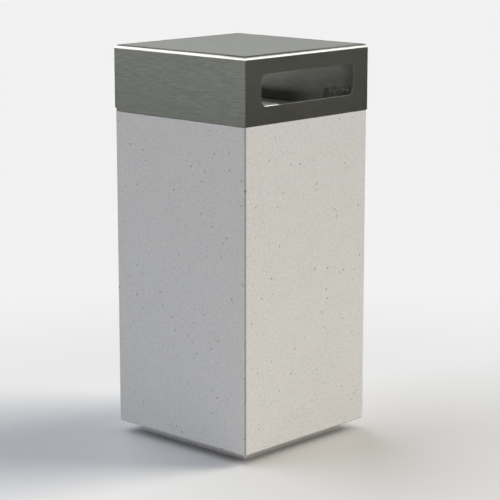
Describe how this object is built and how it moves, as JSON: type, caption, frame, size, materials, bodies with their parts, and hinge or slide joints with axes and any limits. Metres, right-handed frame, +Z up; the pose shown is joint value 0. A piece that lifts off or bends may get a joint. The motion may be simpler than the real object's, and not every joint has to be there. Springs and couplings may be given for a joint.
{
  "type": "ashtray litter bin",
  "caption": "Square cast concrete bin on a recessed foot, with a hinged brushed steel hood, a letter-box slot, an inner liner and an ash pan.",
  "frame": {"origin": "on the ground, under the middle of the square body", "axes": "+Z up; the slot is in the face towards -Y; the hood's hinge runs along X at the rear, +Y"},
  "size_m": [0.4, 0.4, 0.8935],
  "materials": {
    "concrete": "smooth cast, fine air holes",
    "brushed_stainless": "brushed",
    "plate_stainless": "brushed",
    "galvanised_steel": "hot-dip zinc",
    "hinge_steel": "satin",
    "zinc_steel": "zinc plated",
    "lock_metal": "satin chrome",
    "rubber": "matt",
    "grey_plastic": "matt",
    "black_plastic": "matt"
  },
  "bodies": {
    "root": {"concrete_body": "concrete", "rim_sockets": "zinc_steel", "drain_tube": "grey_plastic", "rim_frame": "galvanised_steel", "rim_screws": "zinc_steel", "rim_pads": "rubber", "hinge_fixed_leaf": "hinge_steel", "hinge_pin": "hinge_steel", "hinge_screws": "zinc_steel", "lock_strike": "galvanised_steel", "strike_screws": "zinc_steel"},
    "hood": {"hood_shell": "brushed_stainless", "hinge_hood_leaf": "hinge_steel", "hinge_studs": "zinc_steel", "hinge_nuts": "zinc_steel", "lock_barrel": "lock_metal", "lock_nut": "zinc_steel"},
    "lock": {"lock_plug": "lock_metal", "lock_cam": "zinc_steel", "lock_cam_nut": "zinc_steel"},
    "liner": {"liner_shell": "galvanised_steel", "liner_rim": "galvanised_steel", "liner_feet": "rubber", "bail_rests": "zinc_steel"},
    "bail": {"bail_handle": "zinc_steel", "bail_grip": "black_plastic"},
    "ash_pan": {"ash_pan": "galvanised_steel", "ash_pan_lugs": "galvanised_steel"},
    "stub_plate": {"stub_plate": "plate_stainless", "stub_plate_knob": "plate_stainless"}
  },
  "joints": [
    {"name": "hood_hinge", "type": "hinge", "parent": "root", "child": "hood", "pos_m": [0, 0.1932, 0.752], "axis": [-1, 0, 0], "range_deg": [0, 90]},
    {"name": "lock_turn", "type": "hinge", "parent": "hood", "child": "lock", "pos_m": [0.19, -0.14, 0.782], "axis": [1, 0, 0], "range_deg": [0, 90]},
    {"name": "liner_lift", "type": "slide", "parent": "root", "child": "liner", "axis": [0, 0, 1], "range_m": [0, 0.04]},
    {"name": "bail_swing", "type": "hinge", "parent": "liner", "child": "bail", "pos_m": [0, 0, 0.712], "axis": [0, -1, 0], "range_deg": [0, 95]},
    {"name": "ash_pan_lift", "type": "slide", "parent": "liner", "child": "ash_pan", "axis": [0, 0, 1], "range_m": [0, 0.03]},
    {"name": "stub_plate_lift", "type": "slide", "parent": "ash_pan", "child": "stub_plate", "axis": [0, 0, 1], "range_m": [0, 0.02]}
  ]
}
